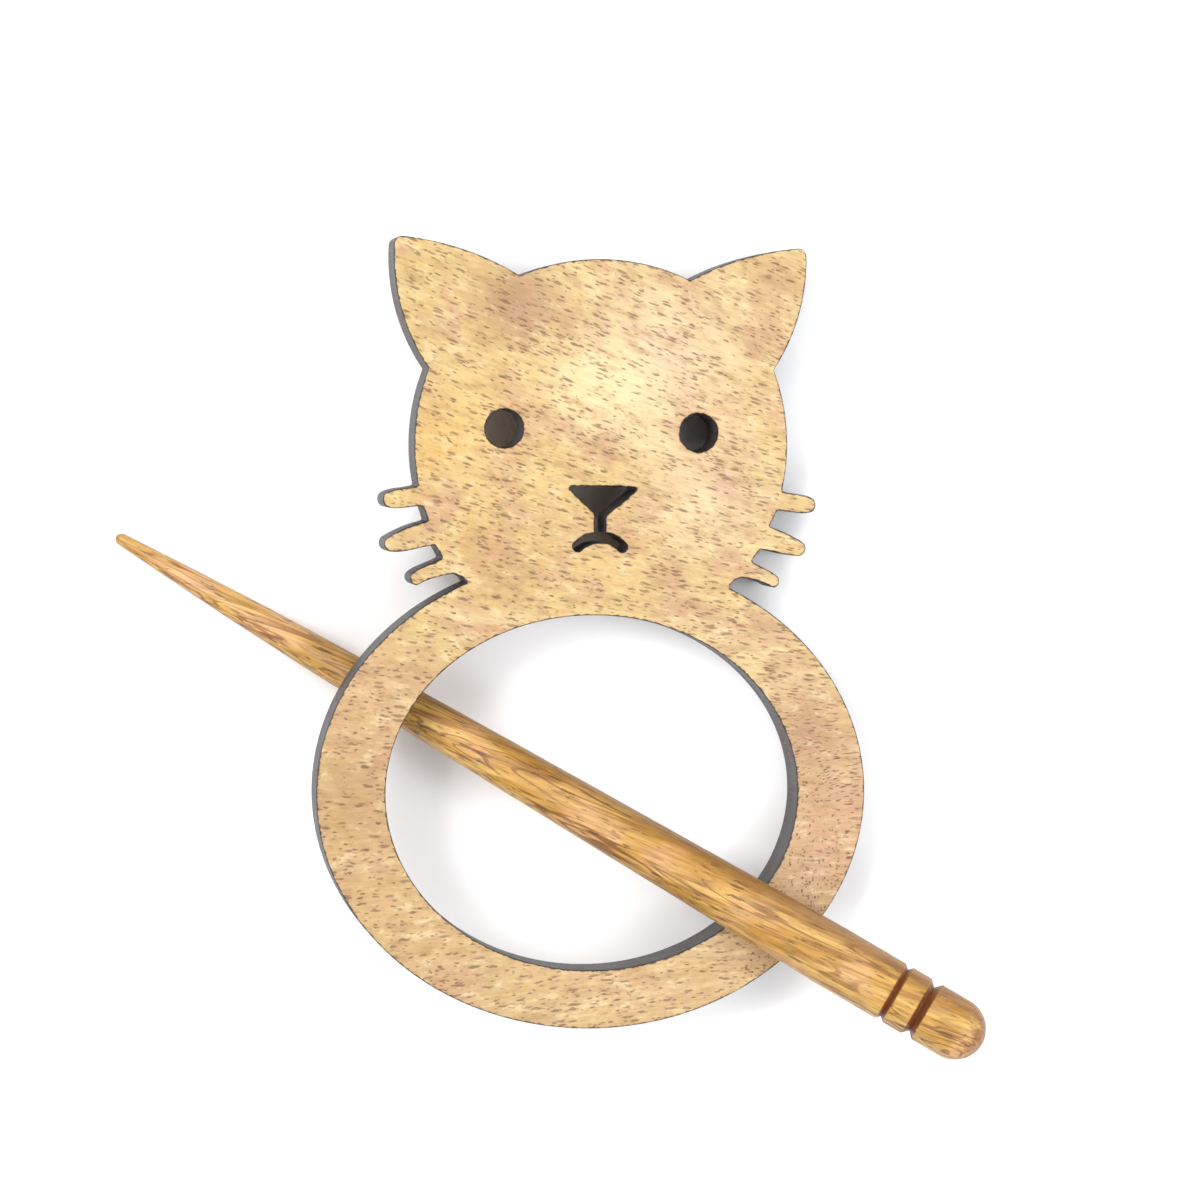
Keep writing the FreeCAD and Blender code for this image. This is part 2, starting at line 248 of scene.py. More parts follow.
def makeStudio():
    scene = bpy.context.scene
    scene.view_settings.view_transform = "Standard"
    scene.world = bpy.data.worlds.new("studio")
    scene.world.use_nodes = True
    tree = scene.world.node_tree
    background = tree.nodes["Background"].inputs
    background["Color"].default_value = tint(*studio["sky"])
    direction = tree.nodes.new("ShaderNodeTexCoord").outputs["Generated"]
    height = splitVector(tree, direction)["Z"]
    full = studio["skyStrength"]
    strength = remap(tree, height, *studio["skyFade"], full * studio["horizonShare"], full)
    tree.links.new(strength, background["Strength"])
    paper, _, shader = newMaterial("whitePaper")
    shader["Base Color"].default_value = tint(*studio["table"])
    shader["Roughness"].default_value = studio["tableRoughness"]
    shader["Specular IOR Level"].default_value = studio["tableGloss"]
    makeSquare("table", studio["tableSide"], 0, paper)
    dark, _, shader = newMaterial("darkCard")
    shader["Base Color"].default_value = (0, 0, 0, 1)
    shader["Specular IOR Level"].default_value = 0
    card = makeSquare("overheadCard", studio["cardSide"], studio["cardHeight"], dark)
    card.visible_camera = False
    for name, (place, size, watts, colour) in lights.items():
        light = bpy.data.lights.new(name, "AREA")
        light.size = size
        light.energy = watts
        light.color = tint(*colour)[:3]
        lamp = bpy.data.objects.new(name, light)
        lamp.location = place
        lamp.rotation_euler = (-Vector(place)).to_track_quat("-Z", "Y").to_euler()
        bpy.context.collection.objects.link(lamp)


makeCamera()
makeStudio()
print("camera and studio ready")


# Shared effects

def makePoreGroup():
    # short dark dashes: the open vessels of the wood, cut at a slant
    inputs = [
        ("Vector", "Vector", (0, 0, 0)),
        ("Length", "Float", 2.0),
        ("Width", "Float", 0.5),
        ("Amount", "Float", 0.5),
        ("Fill", "Float", 0.4),
        ("Seed", "Float", 0.0),
    ]
    group, entry, outlet = newGroup("woodPores", inputs, [("Mask", "Float")])
    seedStep = 17.3
    bend = (0.7, 0.4, 0.4)  # how far the rows of pores wander
    least = 0.45  # size and strength of the faintest pore, as shares of the largest one's
    core = 0.4  # the share of a pore that is fully dark
    wander = addNode(group, "ShaderNodeTexNoise", {"Vector": entry["Vector"], "Scale": 1.1, "Detail": 2.0})
    bent = doVectorMath(group, "MULTIPLY_ADD", wander.outputs["Color"], bend, entry["Vector"])
    moved = doVectorMath(group, "ADD", bent, doMath(group, "MULTIPLY", entry["Seed"], seedStep))
    size = joinVector(group, entry["Length"], entry["Width"], entry["Width"])
    cells = {"Vector": doVectorMath(group, "DIVIDE", moved, size), "Scale": 1.0}
    voronoi = addNode(group, "ShaderNodeTexVoronoi", cells).outputs
    pick = addNode(group, "ShaderNodeSeparateColor", {"Color": voronoi["Color"]}).outputs
    # of a cell's random numbers, the first says if it holds a pore, the others its size and strength
    shown = doMath(group, "LESS_THAN", pick[0], entry["Amount"])
    reach = doMath(group, "MULTIPLY", entry["Fill"], remap(group, pick[1], 0, 1, least, 1.0, False))
    body = remap(group, voronoi["Distance"], reach, doMath(group, "MULTIPLY", reach, core))
    strength = remap(group, pick[2], 0, 1, least, 1.0, False)
    mask = doMath(group, "MULTIPLY", doMath(group, "MULTIPLY", body, shown), strength)
    group.links.new(mask, outlet["Mask"])
    return group


def makeFibreGroup():
    # fine fibres and soft bands, both drawn out along x, and a mottle of short patches
    inputs = [
        ("Vector", "Vector", (0, 0, 0)),
        ("Stretch", "Float", 12.0),
        ("Fineness", "Float", 4.0),
        ("Bands", "Float", 0.4),
    ]
    outputs = [("Fibres", "Float"), ("Bands", "Float"), ("Mottle", "Float")]
    group, entry, outlet = newGroup("woodFibres", inputs, outputs)
    squat = (0.55, 1, 1)  # the mottle's patches are about twice as long as wide
    along = doMath(group, "DIVIDE", 1.0, entry["Stretch"])
    drawn = doVectorMath(group, "MULTIPLY", entry["Vector"], joinVector(group, along, 1.0, 1.0))
    short = doVectorMath(group, "MULTIPLY", entry["Vector"], squat)
    fibres = addNoise(group, drawn, entry["Fineness"], 2.0, Roughness=0.6)
    bands = addNoise(group, drawn, entry["Bands"], 2.0, Distortion=0.6)
    mottle = addNoise(group, short, 0.75, 3.0, Roughness=0.65)
    for name, value in (("Fibres", fibres), ("Bands", bands), ("Mottle", mottle)):
        group.links.new(value, outlet[name])
    return group


def makeScorchGroup():
    # burnt edge: 1 on the cut, fading over a ragged width
    inputs = [
        ("Vector", "Vector", (0, 0, 0)),
        ("Distance", "Float", 0.0),
        ("Width", "Float", 0.2),
        ("Raggedness", "Float", 0.6),
    ]
    group, entry, outlet = newGroup("scorchedEdge", inputs, [("Mask", "Float")])
    narrowest = 0.4  # the share of the width that is burnt everywhere
    core = 0.25  # the share that is fully black
    swing = remap(group, addNoise(group, entry["Vector"], 1.9, 3.0), 0.35, 0.75)
    spread = doMath(group, "MULTIPLY_ADD", swing, entry["Raggedness"], narrowest)
    width = doMath(group, "MULTIPLY", spread, entry["Width"])
    share = doMath(group, "DIVIDE", entry["Distance"], width)
    group.links.new(remap(group, share, core, 1.0, 1, 0), outlet["Mask"])
    return group


poreGroup = makePoreGroup()
fibreGroup = makeFibreGroup()
scorchGroup = makeScorchGroup()


def addPores(tree, large, small, faintness):
    # large pores, and small ones that are fainter
    big = useGroup(tree, poreGroup, large)["Mask"]
    little = useGroup(tree, poreGroup, small)["Mask"]
    return doMath(tree, "MAXIMUM", big, doMath(tree, "MULTIPLY", little, faintness))


def finishWood(tree, shader, colour, fibres, pores, looks):
    # colour, roughness and relief of both woods: the fibres stand up and the pores are sunk
    tree.links.new(colour, shader["Base Color"])
    tree.links.new(remap(tree, fibres, 0.3, 0.7, *looks["roughness"]), shader["Roughness"])
    raised = doMath(tree, "MULTIPLY", fibres, looks["fibreRelief"])
    addRelief(tree, shader, doMath(tree, "MULTIPLY_ADD", pores, -1.0, raised), looks)


# Materials of the plate

paleWood = {
    "warm": (187, 158, 104),
    "rosy": (178, 141, 104),
    "light": (202, 179, 130),
    "ring": (168, 135, 96),
    "deep": (156, 121, 76),
    "bright": (216, 198, 153),
    "pore": (90, 55, 30),
    "smoke": (44, 32, 24),
    "scorch": (40, 26, 20),
    "slopes": (-0.12, 0.34),  # of the grain, at the foot of the ring and on the head
    "slopeHeights": (-25, 50),  # mm
    "ringHeights": (24, 4),  # mm, between which the ring's own tone sets in
    "mottle": (0.28, 0.52, 0.78),  # noise that is deepest, plain and brightest
    "blotchScale": 0.16,  # per mm
    "dotsRight": (16, 30),  # mm, where pores turn from dashes into dots
    "dotsDown": (12, -4),
    "poreLengths": (1.9, 1.1),  # mm, of a dash's cell and a dot's
    "poreWidths": (0.44, 0.62),
    "scorchWidth": 0.3,  # mm
    "backHeight": 0.5,  # mm, how far the back's smoke comes up the plate
    "smokeReach": 4.0,  # mm from a cut
    "smokeStrengths": (0.95, 0.4),  # beside a cut, and beyond that reach
    "roughness": (0.34, 0.50),
    "fibreRelief": 0.25,
    "relief": 0.35,
    "reliefDepth": 0.12,  # mm
}

# Patches that show in the wood, in the plate's frame: x, y and reach in mm, colour, and strength. The pale patches
# over the brow and right cheek are partly the wood's own paler colour and partly painted sheen.
platePatches = {
    "pale brow with painted sheen": (7, 50, 14, (206, 184, 150), 0.65),
    "pale cheek with painted sheen": (12, 34, 10, (208, 184, 152), 0.5),
    "golden left cheek": (-15, 40, 13, (198, 164, 104), 0.6),
    "golden chin": (-2, 25, 10, (192, 160, 104), 0.5),
    "brown forehead": (-10, 56, 7, (150, 116, 82), 0.75),
    "pale mid brow with painted sheen": (0, 46, 9, (216, 196, 150), 0.6),
    "tan chin side": (-12, 26, 7, (168, 126, 84), 0.5),
    "rosy cheek": (13, 42, 6, (190, 148, 112), 0.5),
    "golden cheek edge": (-19, 40, 5, (196, 156, 86), 0.6),
    "rosy ring side": (29, -4, 14, (176, 134, 102), 0.75),
    "brown ring side": (25, 7, 6, (146, 108, 78), 0.6),
    "tan ear": (20, 58, 6, (172, 134, 96), 0.6),
    "brown ring left": (-26, 0, 8, (160, 122, 86), 0.55),
    "rosy ring left": (-27, 12, 8, (180, 144, 108), 0.55),
    "golden ring foot": (2, -24, 12, (190, 160, 112), 0.4),
}

patchEdge = (0.5, 1.6)  # where a patch starts to fade and is gone, as shares of its reach


def makePaleWood():
    material, tree, shader = newMaterial("paleWood")
    place = ownCoordinates(tree, plateMatrix)
    axes = splitVector(tree, place)
    # the grain slopes down to the right on the head, and levels out down the ring
    slope = remap(tree, axes["Y"], *paleWood["slopeHeights"], *paleWood["slopes"], smooth=False)
    across = doMath(tree, "MULTIPLY_ADD", axes["X"], slope, axes["Y"])
    grain = joinVector(tree, axes["X"], across, axes["Z"])

    fibres = useGroup(tree, fibreGroup, {"Vector": grain, "Stretch": 9.0, "Fineness": 3.6, "Bands": 0.2})
    blotches = addNoise(tree, grain, paleWood["blotchScale"], 3.0)
    rosy = remap(tree, blotches, 0.42, 0.66)
    light = remap(tree, fibres["Bands"], 0.45, 0.7)
    colour = blendColours(tree, rosy, tint(*paleWood["warm"]), tint(*paleWood["rosy"]))
    colour = paint(tree, colour, doMath(tree, "MULTIPLY", light, 0.6), paleWood["light"])
    ring = remap(tree, axes["Y"], *paleWood["ringHeights"], 0, 0.5)
    colour = paint(tree, colour, ring, paleWood["ring"])
    fadeStart, fadeEnd = patchEdge
    # each patch paints its colour over the wood; the pale brow and cheek patches paint sheen as well
    for x, y, reach, swatch, strength in platePatches.values():
        offset = doVectorMath(tree, "SUBTRACT", place, (x, y, 0))
        flat = doVectorMath(tree, "MULTIPLY", offset, (1, 1, 0))
        far = addNode(tree, "ShaderNodeVectorMath", {0: flat}, operation="LENGTH").outputs["Value"]
        ragged = doMath(tree, "MULTIPLY_ADD", blotches, reach, far)
        mask = remap(tree, ragged, reach * fadeStart, reach * fadeEnd, strength, 0)
        colour = paint(tree, colour, mask, swatch)
    deepest, plain, brightest = paleWood["mottle"]
    colour = paint(tree, colour, remap(tree, fibres["Mottle"], plain, deepest, 0, 0.6), paleWood["deep"])
    colour = paint(tree, colour, remap(tree, fibres["Mottle"], plain, brightest, 0, 0.6), paleWood["bright"])
    colour = lighten(tree, colour, remap(tree, fibres["Fibres"], 0.3, 0.72, 0.87, 1.1, False))

    # dashes on the head, dots on the right of the ring, where the cut crosses the vessels
    right = remap(tree, axes["X"], *paleWood["dotsRight"])
    down = remap(tree, axes["Y"], *paleWood["dotsDown"])
    dots = doMath(tree, "MULTIPLY", right, down)
    length = remap(tree, dots, 0, 1, *paleWood["poreLengths"], smooth=False)
    width = remap(tree, dots, 0, 1, *paleWood["poreWidths"], smooth=False)
    clusters = addNoise(tree, place, paleWood["blotchScale"], 3.0)
    amount = remap(tree, clusters, 0.35, 0.65, 0.4, 1.0, False)
    large = {"Vector": grain, "Length": length, "Width": width, "Amount": amount, "Fill": 0.54, "Seed": 1.0}
    small = {"Vector": grain, "Length": 1.0, "Width": 0.34, "Amount": amount, "Fill": 0.5, "Seed": 2.0}
    pores = addPores(tree, large, small, 0.8)
    colour = paint(tree, colour, doMath(tree, "MULTIPLY", pores, 0.95), paleWood["pore"])

    # the laser's smoke has browned the back, most of all beside the cuts
    rim = readAttribute(tree, "rim")
    back = doMath(tree, "LESS_THAN", axes["Z"], paleWood["backHeight"])
    stain = remap(tree, rim, 0, paleWood["smokeReach"], *paleWood["smokeStrengths"])
    colour = paint(tree, colour, doMath(tree, "MULTIPLY", back, stain), paleWood["smoke"])
    edge = {"Vector": place, "Distance": rim, "Width": paleWood["scorchWidth"], "Raggedness": 0.8}
    colour = paint(tree, colour, useGroup(tree, scorchGroup, edge)["Mask"], paleWood["scorch"])
    finishWood(tree, shader, colour, fibres["Fibres"], pores, paleWood)
    return material


charredWood = {
    "soot": (36, 34, 34),
    "ash": (84, 82, 84),
    "ember": (74, 52, 38),
    "lineStretch": 0.12,  # how much the lines change from face to face, against along the cut
    "roughness": (0.45, 0.65),
    "relief": 0.4,
    "reliefDepth": 0.1,  # mm
}


def makeCharredWood():
    material, tree, shader = newMaterial("charredWood")
    place = ownCoordinates(tree, plateMatrix)
    # the laser leaves lines that run from face to face
    height = doMath(tree, "MULTIPLY", splitVector(tree, place)["Z"], charredWood["lineStretch"])
    lines = addNoise(tree, joinVector(tree, readAttribute(tree, "run"), height), 3.2, 4.0)
    broad = addNoise(tree, place, 0.2, 1.0)
    ash = remap(tree, doMath(tree, "MULTIPLY_ADD", broad, 0.4, lines), 0.4, 1.0)
    colour = blendColours(tree, ash, tint(*charredWood["soot"]), tint(*charredWood["ash"]))
    colour = paint(tree, colour, remap(tree, broad, 0.3, 0.5, 0.4, 0), charredWood["ember"])
    tree.links.new(colour, shader["Base Color"])
    tree.links.new(remap(tree, lines, 0.3, 0.7, *charredWood["roughness"]), shader["Roughness"])
    addRelief(tree, shader, lines, charredWood)
    return material


# Plate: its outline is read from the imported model, and its rims are softened

plateDetail = {
    "rimRound": 0.15,  # mm, radius of the sanded rims
    "roundSteps": 3,
    "outlineStep": 0.25,  # mm between points along the cut
    "wallSteps": 6,
    "innerRows": (0.1, 0.25, 0.5, 1.0),  # mm from the round, for the scorched edge
    "innerGrid": 1.2,  # mm between points inside those rows
    "gridMargin": 0.3,  # mm kept free between the rows and the grid
    "sharpTurn": 25,  # degrees: corners that stay sharp
    "shortEdge": 0.4,  # mm: beside shorter edges, only turns twice as large stay sharp
    "sharpRim": 40,  # degrees between faces that are shaded apart
}


def plateMesh():
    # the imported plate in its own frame, in mm, with its triangles joined
    weld = 0.001
    mesh = bmesh.new()
    mesh.from_mesh(frame["nodes"]["cat_ring"].data)
    bmesh.ops.transform(mesh, matrix=Matrix.Scale(1 / mm, 4) @ plateMatrix.inverted(), verts=mesh.verts)
    bmesh.ops.remove_doubles(mesh, verts=mesh.verts, dist=weld)
    mesh.normal_update()
    mesh.verts.index_update()
    mesh.verts.ensure_lookup_table()
    return mesh


def faceLoops(mesh):
    # the closed outlines of the front face, each with the wood on its left
    steepest = 0.9  # least upward part of a normal that belongs to the face
    following = {}
    for face in mesh.faces:
        if face.normal.z < steepest:
            continue
        for loop in face.loops:
            partners = [other for other in loop.edge.link_faces if other is not face]
            if all(other.normal.z < steepest for other in partners):
                following[loop.vert.index] = loop.link_loop_next.vert.index
    loops = []
    while following:
        start, place = following.popitem()
        outline = [start]
        while place != start:
            outline.append(place)
            place = following.pop(place)
        loops.append(np.array([mesh.verts[index].co[:2] for index in outline]))
    return loops


def refineLoop(points):
    # even points along an outline: curved where it bends gently, straight beside its sharp corners
    step = plateDetail["outlineStep"]
    edges = np.roll(points, -1, 0) - points
    lengths = np.linalg.norm(edges, axis=1)
    ways = edges / lengths[:, None]
    before = np.roll(ways, 1, 0)
    turns = np.degrees(np.arccos(np.clip((ways * before).sum(1), -1, 1)))
    shortest = np.minimum(lengths, np.roll(lengths, 1))
    limit = plateDetail["sharpTurn"]
    sharp = (turns > 2 * limit) | (turns > limit) & (shortest > plateDetail["shortEdge"])
    middle = ways + before
    middle /= np.linalg.norm(middle, axis=1)[:, None]
    refined = []
    for index, point in enumerate(points):
        following = (index + 1) % len(points)
        leave = ways[index] if sharp[index] else middle[index]
        arrive = ways[index] if sharp[following] else middle[following]
        count = max(1, round(lengths[index] / step))
        # a cubic that keeps to the way it leaves one point and arrives at the next
        for t in np.arange(count) / count:
            here = (2 * t**3 - 3 * t**2 + 1) * point + (3 * t**2 - 2 * t**3) * points[following]
            pull = (t**3 - 2 * t**2 + t) * leave + (t**3 - t**2) * arrive
            refined.append(here + pull * lengths[index])
    return np.array(refined)


def insetLoop(points, distance):
    # the outline moved into the wood
    ways = np.roll(points, -1, 0) - points
    ways /= np.linalg.norm(ways, axis=1)[:, None]
    inward = np.stack([-ways[:, 1], ways[:, 0]], 1)
    middle = inward + np.roll(inward, 1, 0)
    middle /= np.linalg.norm(middle, axis=1)[:, None]
    least = 0.5  # keeps a sharp corner from moving far
    stretch = np.maximum((middle * inward).sum(1), least)
    return points + middle * (distance / stretch)[:, None]


def distanceToLoops(points, loops):
    # how far each point is from the nearest outline
    nearest = np.full(len(points), np.inf)
    blockSize = 500
    for loop in loops:
        edges = np.roll(loop, -1, 0) - loop
        squares = (edges**2).sum(1)
        for first in range(0, len(points), blockSize):
            block = slice(first, first + blockSize)
            away = points[block, None] - loop[None]
            share = np.clip((away * edges).sum(2) / squares, 0, 1)
            gaps = np.linalg.norm(away - share[..., None] * edges, axis=2).min(1)
            nearest[block] = np.minimum(nearest[block], gaps)
    return nearest


def insideLoops(points, loops):
    # whether each point is in the wood: an odd number of outlines lies to its right
    crossings = np.zeros(len(points), int)
    for loop in loops:
        ends = np.roll(loop, -1, 0)
        for (x0, y0), (x1, y1) in zip(loop, ends):
            if y0 == y1:
                continue
            between = (points[:, 1] > y0) != (points[:, 1] > y1)
            meet = x0 + (points[:, 1] - y0) * (x1 - x0) / (y1 - y0)
            crossings += between & (points[:, 0] < meet)
    return crossings % 2 == 1


def fillFace(loops, rounded):
    # triangles over the flat face, with rows of points beside the cut and a loose grid inside
    border = np.concatenate(rounded)
    edges = []
    first = 0
    for loop in rounded:
        count = len(loop)
        edges += [(first + index, first + (index + 1) % count) for index in range(count)]
        first += count
    radius = plateDetail["rimRound"]
    # near a corner a row's points crowd together, so the ones too near the cut are left out
    nearly = 0.97
    inner = []
    for row in plateDetail["innerRows"]:
        places = np.concatenate([insetLoop(loop, radius + row) for loop in loops])
        clear = distanceToLoops(places, loops) > nearly * (radius + row)
        inner.append(places[clear & insideLoops(places, rounded)])
    low, high = border.min(0), border.max(0)
    columns, lines = (np.arange(low[axis], high[axis], plateDetail["innerGrid"]) for axis in (0, 1))
    grid = np.stack(np.meshgrid(columns, lines), -1).reshape(-1, 2)
    clear = distanceToLoops(grid, loops) > radius + plateDetail["innerRows"][-1] + plateDetail["gridMargin"]
    inner.append(grid[clear & insideLoops(grid, rounded)])
    points = [Vector(point) for point in np.concatenate([border] + inner)]
    # this kind of filling also closes the holes, so the triangles in them are dropped
    insideOutline = 1
    tolerance = 1e-7
    filled = delaunay_2d_cdt(points, edges, [], insideOutline, tolerance)
    places = np.array([tuple(place) for place in filled[0]])
    triangles = np.array(filled[2])
    triangles = triangles[insideLoops(places[triangles].mean(1), rounded)]
    return places, triangles.tolist(), filled[3], len(border)


def rimRows(low, high):
    # inset and height of each row of points, from the back face round its rim, up the wall to the front
    radius = plateDetail["rimRound"]
    count = plateDetail["roundSteps"]
    angles = [math.pi / 2 * step / count for step in range(count + 1)]
    back = [(radius * (1 - math.sin(angle)), low + radius * (1 - math.cos(angle))) for angle in angles]
    front = [(inset, low + high - height) for inset, height in reversed(back)]
    wall = np.linspace(low + radius, high - radius, plateDetail["wallSteps"] + 1)[1:-1]
    return back + [(0, height) for height in wall] + front


def sideFaces(loops, rows):
    # faces between the rows, and their materials: 1 on the cut wall, 0 on the rounded rims
    total = sum(len(loop) for loop in loops)
    firstWall = plateDetail["roundSteps"]
    lastWall = len(rows) - 1 - firstWall
    faces = []
    slots = []
    for row in range(len(rows) - 1):
        first = row * total
        for loop in loops:
            count = len(loop)
            for index in range(count):
                here = first + index
                beside = first + (index + 1) % count
                faces.append((here, here + total, beside + total, beside))
                slots.append(1 if firstWall <= row < lastWall else 0)
            first += count
    return faces, slots


def makePlate():
    mesh = plateMesh()
    heights = [vertex.co.z for vertex in mesh.verts]
    low, high = min(heights), max(heights)
    loops = [refineLoop(loop) for loop in faceLoops(mesh)]
    mesh.free()
    rows = rimRows(low, high)
    faces, slots = sideFaces(loops, rows)
    places = []
    rims = []
    runs = []
    for inset, height in rows:
        for loop in loops:
            gaps = np.linalg.norm(np.roll(loop, -1, 0) - loop, axis=1)
            places += [(x, y, height) for x, y in insetLoop(loop, inset)]
            rims += [inset] * len(loop)
            runs += list(np.cumsum(gaps))

    rounded = [insetLoop(loop, plateDetail["rimRound"]) for loop in loops]
    flat, triangles, sources, borderCount = fillFace(loops, rounded)
    distances = distanceToLoops(flat, loops)
    lastRow = len(places) - borderCount
    for height, firstPlace, turned in ((low, 0, True), (high, lastRow, False)):
        index = {}
        for number, (x, y) in enumerate(flat):
            origin = sources[number][0] if sources[number] else None
            if origin is not None and origin < borderCount:
                index[number] = firstPlace + origin
            else:
                index[number] = len(places)
                places.append((x, y, height))
                rims.append(distances[number])
                runs.append(0)
        for triangle in triangles:
            face = [index[number] for number in triangle]
            faces.append(face[::-1] if turned else face)
            slots.append(0)

    plate = bpy.data.meshes.new("catPlate")
    plate.from_pydata(places, [], faces)
    plate.transform(plateMatrix @ Matrix.Scale(mm, 4))
    for name, values in (("rim", rims), ("run", runs)):
        plate.attributes.new(name, "FLOAT", "POINT").data.foreach_set("value", np.array(values, np.float32))
    plate.materials.append(makePaleWood())
    plate.materials.append(makeCharredWood())
    plate.polygons.foreach_set("material_index", slots)
    plate.polygons.foreach_set("use_smooth", [True] * len(faces))
    plate.set_sharp_from_angle(angle=math.radians(plateDetail["sharpRim"]))
    piece = bpy.data.objects.new("catPlate", plate)
    bpy.context.collection.objects.link(piece)
    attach(piece, "ring_plate")
    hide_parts("cat_ring")


makePlate()
print("plate cut")


# Materials of the stick

goldenWood = {
    "amber": (176, 130, 56),
    "honey": (196, 156, 84),
    "rosy": (198, 152, 100),
    "streak": (120, 72, 28),
    "pore": (66, 36, 14),
    "scorch": (96, 44, 12),
    "char": (44, 20, 8),
    # the colour of the painted shade on one side of the stick
    "paintedShade": (128, 84, 32),
    "slant": -8,  # degrees between the wood's layers and the stick's axis
    "roll": 0.3,  # radians, the same layers' turn about the axis
    "layers": 56,  # how close the growth layers lie
    "grooveBrown": (0.02, 0.2),  # mm of depth, between which a groove turns brown
    "grooveBlack": (0.6, 0.75),
    "paintedShadeSide": (2.2, 3.8),  # mm sideways from the axis, with the mottle added: where the painted shade on one side starts, and where it is full
    "domeStart": (115.0, 117.0),  # mm from the tip, with the mottle added
    "roughness": (0.36, 0.52),
    "fibreRelief": 0.8,
    "relief": 0.6,
    "reliefDepth": 0.15,  # mm
}


def makeGoldenWood():
    material, tree, shader = newMaterial("goldenWood")
    place = ownCoordinates(tree, stickMatrix)
    # the layers of the wood cross the stick at a slant, so they come out as long streaks
    slant = (goldenWood["roll"], 0, math.radians(goldenWood["slant"]))
    turned = {"Vector": place, "Rotation": slant}
    grain = addNode(tree, "ShaderNodeMapping", turned, vector_type="POINT").outputs[0]
    fibres = useGroup(tree, fibreGroup, {"Vector": grain, "Stretch": 14.0, "Fineness": 3.2, "Bands": 0.6})
    bands = remap(tree, fibres["Bands"], 0.4, 0.64)
    colour = blendColours(tree, bands, tint(*goldenWood["amber"]), tint(*goldenWood["honey"]))
    blotch = remap(tree, addNoise(tree, grain, 0.14, 2.0), 0.46, 0.66, 0, 0.8)
    colour = paint(tree, colour, blotch, goldenWood["rosy"])
    layers = useGroup(tree, fibreGroup, {"Vector": grain, "Stretch": 16.0, "Fineness": 1.3, "Bands": 0.3})
    often = remap(tree, layers["Bands"], 0.35, 0.58, 0.35, 0.95)
    streaks = doMath(tree, "MULTIPLY", remap(tree, layers["Fibres"], 0.52, 0.66), often)
    colour = paint(tree, colour, doMath(tree, "MULTIPLY", streaks, 0.7), goldenWood["streak"])
    # level lines of a smooth noise: the growth layers, which close into loops on the dome
    contours = useGroup(tree, fibreGroup, {"Vector": grain, "Stretch": 11.0, "Fineness": 1.0, "Bands": 0.34})
    waves = doMath(tree, "SINE", doMath(tree, "MULTIPLY", contours["Bands"], goldenWood["layers"]))
    lines = doMath(tree, "MULTIPLY", remap(tree, waves, 0.5, 1.0, 0, 0.8), often)
    colour = paint(tree, colour, lines, goldenWood["streak"])
    colour = lighten(tree, colour, remap(tree, fibres["Fibres"], 0.3, 0.7, 0.74, 1.16, False))
    large = {"Vector": grain, "Length": 4.6, "Width": 0.56, "Amount": 0.6, "Fill": 0.46, "Seed": 3.0}
    small = {"Vector": grain, "Length": 2.2, "Width": 0.36, "Amount": 0.7, "Fill": 0.44, "Seed": 4.0}
    pores = addPores(tree, large, small, 0.7)
    colour = paint(tree, colour, doMath(tree, "MULTIPLY", pores, 0.75), goldenWood["pore"])
    depth = readAttribute(tree, "groove")
    brown = remap(tree, depth, *goldenWood["grooveBrown"], 0, 0.95)
    black = remap(tree, depth, *goldenWood["grooveBlack"], 0, 0.4)
    colour = paint(tree, colour, brown, goldenWood["scorch"])
    colour = paint(tree, colour, black, goldenWood["char"])
    # painted shade darkens one side of the stick; the end grain of the dome is darker too, as it drinks more
    # finish
    axes = splitVector(tree, place)
    sideways = doMath(tree, "MULTIPLY_ADD", fibres["Mottle"], 1.6, axes["Y"])
    paintedShade = remap(tree, sideways, *goldenWood["paintedShadeSide"], 0, 0.65)
    colour = paint(tree, colour, paintedShade, goldenWood["paintedShade"])
    onward = doMath(tree, "MULTIPLY_ADD", fibres["Mottle"], 2.0, axes["X"])
    dome = remap(tree, onward, *goldenWood["domeStart"], 0, 0.6)
    colour = paint(tree, colour, dome, goldenWood["streak"])
    finishWood(tree, shader, colour, fibres["Fibres"], pores, goldenWood)
    return material


# Stick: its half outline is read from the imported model, and a Geometry Nodes tree turns it

stickDetail = {
    "sides": 72,
    "ringStep": 0.2,  # mm between rings along the stick
    "wobble": 0.05,  # mm, the unevenness of hand turning
    "wobbleScale": 160,  # of its noise, per metre
    "seed": 5.0,
    "grooves": (60, 112.4),  # mm from the tip, the stretch that can hold grooves
    "sharpEdge": 35,  # degrees between faces that are shaded apart
}


def stickOutline():
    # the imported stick's radius at even distances from its tip, in mm, its rings told apart by 0.01 mm
    inverse = stickMatrix.inverted()
    rings = {}
    for vertex in frame["nodes"]["stick"].data.vertices:
        place = inverse @ vertex.co / mm
        key = round(place.x, 2)
        rings[key] = max(rings.get(key, 0), math.hypot(place.y, place.z))
    along = np.array(sorted(rings))
    radii = np.array([rings[x] for x in along])
    # even steps, with the model's own rings where they lie closer, and a pole at each end
    least = 0.02  # mm between rings
    inner = np.unique(np.concatenate([np.arange(along[0], along[-1], stickDetail["ringStep"]), along]))
    inner = inner[(inner > along[0] + least) & (inner < along[-1] - least)]
    inner = inner[np.concatenate([[True], np.diff(inner) > least])]
    kept = np.concatenate([[along[0], along[0] + least / 2], inner, [along[-1] - least / 2, along[-1]]])
    radius = np.interp(kept, along, radii)
    radius[0] = radius[-1] = 0
    return kept, radius


